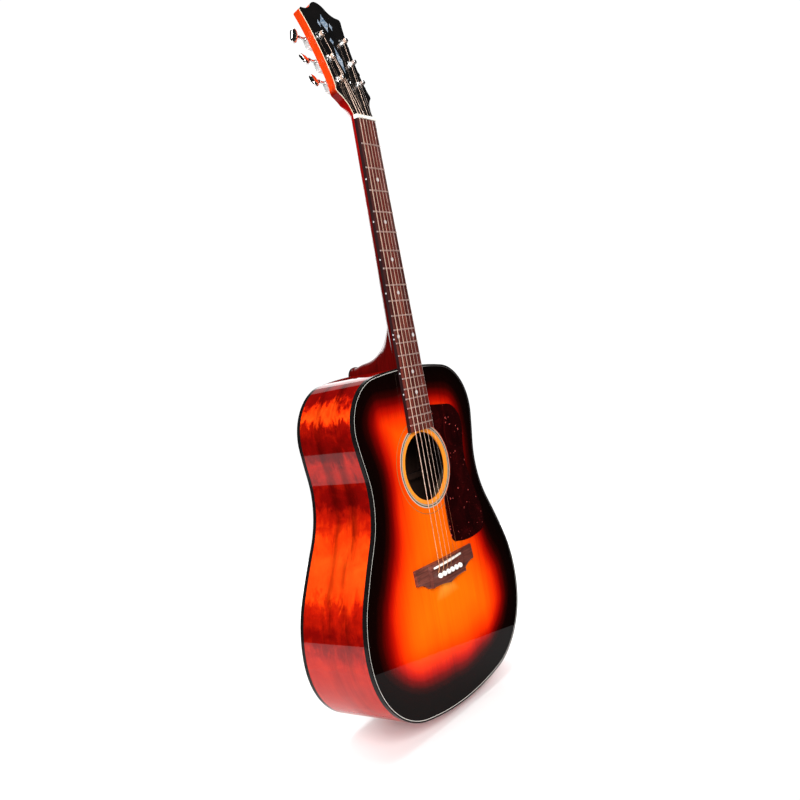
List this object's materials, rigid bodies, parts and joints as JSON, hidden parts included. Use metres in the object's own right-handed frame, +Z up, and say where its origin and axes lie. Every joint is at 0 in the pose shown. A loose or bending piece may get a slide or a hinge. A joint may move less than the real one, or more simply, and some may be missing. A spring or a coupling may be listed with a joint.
{
  "type": "acoustic guitar",
  "caption": "Steel-string dreadnought guitar: sunburst box body, arched back, tapered neck with fretboard, bridge with pins, and a headstock with enclosed worm tuners.",
  "frame": {"origin": "centre of the strap button's end face, at the tail end of the body", "axes": "+Z up the neck, -Y the way the soundboard faces, +X the treble side"},
  "size_m": [0.4006, 0.1495, 1.0722],
  "materials": {
    "sunburst_top": "gloss sunburst lacquer over spruce",
    "amber_mahogany": "gloss red-amber lacquer over mahogany",
    "dark_mahogany": "gloss dark red lacquer over mahogany",
    "bare_mahogany": "bare sanded wood",
    "bare_spruce": "bare sanded wood",
    "bare_maple": "bare sanded wood",
    "rosewood": "oiled, satin",
    "black_binding": "polished",
    "white_purfling": "under gloss lacquer",
    "ring_inlay": "black and white rings under gloss lacquer",
    "pickguard": "polished, dark red mottle",
    "bone": "polished bone",
    "pin_white": "polished",
    "pearl": "pearl inlay",
    "gloss_black": "polished",
    "fret_wire": "polished nickel silver",
    "chrome": "polished",
    "steel": "plain drawn steel",
    "plain_string": "bright plain steel",
    "wound_string": "bronze winding",
    "brass": "turned"
  },
  "bodies": {
    "guitar": {"soundboard": "sunburst_top", "rosette": "ring_inlay", "top_purfling": "white_purfling", "top_binding": "black_binding", "back_binding": "black_binding", "side_bass": "amber_mahogany", "side_treble": "amber_mahogany", "back": "amber_mahogany", "neck_block": "bare_mahogany", "tail_block": "bare_mahogany", "top_lining": "bare_mahogany", "back_lining": "bare_mahogany", "x_brace": "bare_spruce", "top_braces": "bare_spruce", "back_braces": "bare_mahogany", "back_centre_strip": "bare_spruce", "bridge_plate": "bare_maple", "pickguard": "pickguard", "bridge": "rosewood", "saddle": "bone", "neck": "dark_mahogany", "heel_cap": "black_binding", "fretboard": "rosewood", "fret_markers": "pearl", "frets": "fret_wire", "nut": "bone", "truss_rod": "steel", "headstock_inlay": "pearl", "headplate": "gloss_black", "truss_rod_cover": "gloss_black", "tuner_housings": "chrome", "tuner_bushings": "chrome", "small_screws": "chrome", "strap_button": "chrome", "strap_button_screw": "chrome", "string_6": "wound_string", "string_5": "wound_string", "string_4": "wound_string", "string_3": "wound_string", "string_2": "plain_string", "string_1": "plain_string"},
    "rod_nut": {"truss_rod_nut": "brass"},
    "pin_6": {"bridge_pin_6": "pin_white"},
    "pin_5": {"bridge_pin_5": "pin_white"},
    "pin_4": {"bridge_pin_4": "pin_white"},
    "pin_3": {"bridge_pin_3": "pin_white"},
    "pin_2": {"bridge_pin_2": "pin_white"},
    "pin_1": {"bridge_pin_1": "pin_white"},
    "button_6": {"tuner_button_6": "chrome"},
    "post_6": {"tuner_post_6": "chrome"},
    "button_5": {"tuner_button_5": "chrome"},
    "post_5": {"tuner_post_5": "chrome"},
    "button_4": {"tuner_button_4": "chrome"},
    "post_4": {"tuner_post_4": "chrome"},
    "button_3": {"tuner_button_3": "chrome"},
    "post_3": {"tuner_post_3": "chrome"},
    "button_2": {"tuner_button_2": "chrome"},
    "post_2": {"tuner_post_2": "chrome"},
    "button_1": {"tuner_button_1": "chrome"},
    "post_1": {"tuner_post_1": "chrome"}
  },
  "joints": [
    {"name": "rod_nut_turn", "type": "hinge", "parent": "guitar", "child": "rod_nut", "pos_m": [0, -0.05917, 0.90015], "axis": [0, 0.007, 1], "range_deg": [-180, 180]},
    {"name": "pin_6_pull", "type": "slide", "parent": "guitar", "child": "pin_6", "axis": [0, -1, 0], "range_m": [0, 0.03]},
    {"name": "pin_5_pull", "type": "slide", "parent": "guitar", "child": "pin_5", "axis": [0, -1, 0], "range_m": [0, 0.03]},
    {"name": "pin_4_pull", "type": "slide", "parent": "guitar", "child": "pin_4", "axis": [0, -1, 0], "range_m": [0, 0.03]},
    {"name": "pin_3_pull", "type": "slide", "parent": "guitar", "child": "pin_3", "axis": [0, -1, 0], "range_m": [0, 0.03]},
    {"name": "pin_2_pull", "type": "slide", "parent": "guitar", "child": "pin_2", "axis": [0, -1, 0], "range_m": [0, 0.03]},
    {"name": "pin_1_pull", "type": "slide", "parent": "guitar", "child": "pin_1", "axis": [0, -1, 0], "range_m": [0, 0.03]},
    {"name": "button_6_turn", "type": "hinge", "parent": "guitar", "child": "button_6", "pos_m": [-0.0232, -0.03316, 0.94259], "axis": [1, 0, 0], "continuous": true},
    {"name": "post_6_turn", "type": "hinge", "parent": "guitar", "child": "post_6", "pos_m": [-0.0232, -0.05287, 0.94119], "axis": [0, -0.9632, 0.2689], "continuous": true},
    {"name": "button_5_turn", "type": "hinge", "parent": "guitar", "child": "button_5", "pos_m": [-0.0242, -0.02375, 0.97631], "axis": [1, 0, 0], "continuous": true},
    {"name": "post_5_turn", "type": "hinge", "parent": "guitar", "child": "post_5", "pos_m": [-0.0242, -0.04346, 0.9749], "axis": [0, -0.9632, 0.2689], "continuous": true},
    {"name": "button_4_turn", "type": "hinge", "parent": "guitar", "child": "button_4", "pos_m": [-0.0262, -0.0138, 1.01194], "axis": [1, 0, 0], "continuous": true},
    {"name": "post_4_turn", "type": "hinge", "parent": "guitar", "child": "post_4", "pos_m": [-0.0262, -0.03351, 1.01053], "axis": [0, -0.9632, 0.2689], "continuous": true},
    {"name": "button_3_turn", "type": "hinge", "parent": "guitar", "child": "button_3", "pos_m": [0.0262, -0.0138, 1.01194], "axis": [1, 0, 0], "continuous": true},
    {"name": "post_3_turn", "type": "hinge", "parent": "guitar", "child": "post_3", "pos_m": [0.0262, -0.03351, 1.01053], "axis": [0, -0.9632, 0.2689], "continuous": true},
    {"name": "button_2_turn", "type": "hinge", "parent": "guitar", "child": "button_2", "pos_m": [0.0242, -0.02375, 0.97631], "axis": [1, 0, 0], "continuous": true},
    {"name": "post_2_turn", "type": "hinge", "parent": "guitar", "child": "post_2", "pos_m": [0.0242, -0.04346, 0.9749], "axis": [0, -0.9632, 0.2689], "continuous": true},
    {"name": "button_1_turn", "type": "hinge", "parent": "guitar", "child": "button_1", "pos_m": [0.0232, -0.03316, 0.94259], "axis": [1, 0, 0], "continuous": true},
    {"name": "post_1_turn", "type": "hinge", "parent": "guitar", "child": "post_1", "pos_m": [0.0232, -0.05287, 0.94119], "axis": [0, -0.9632, 0.2689], "continuous": true}
  ],
  "couplings": [
    {"joint": "post_6_turn", "follows": "button_6_turn", "ratio": 0.071429},
    {"joint": "post_5_turn", "follows": "button_5_turn", "ratio": 0.071429},
    {"joint": "post_4_turn", "follows": "button_4_turn", "ratio": 0.071429},
    {"joint": "post_3_turn", "follows": "button_3_turn", "ratio": 0.071429},
    {"joint": "post_2_turn", "follows": "button_2_turn", "ratio": 0.071429},
    {"joint": "post_1_turn", "follows": "button_1_turn", "ratio": 0.071429}
  ]
}
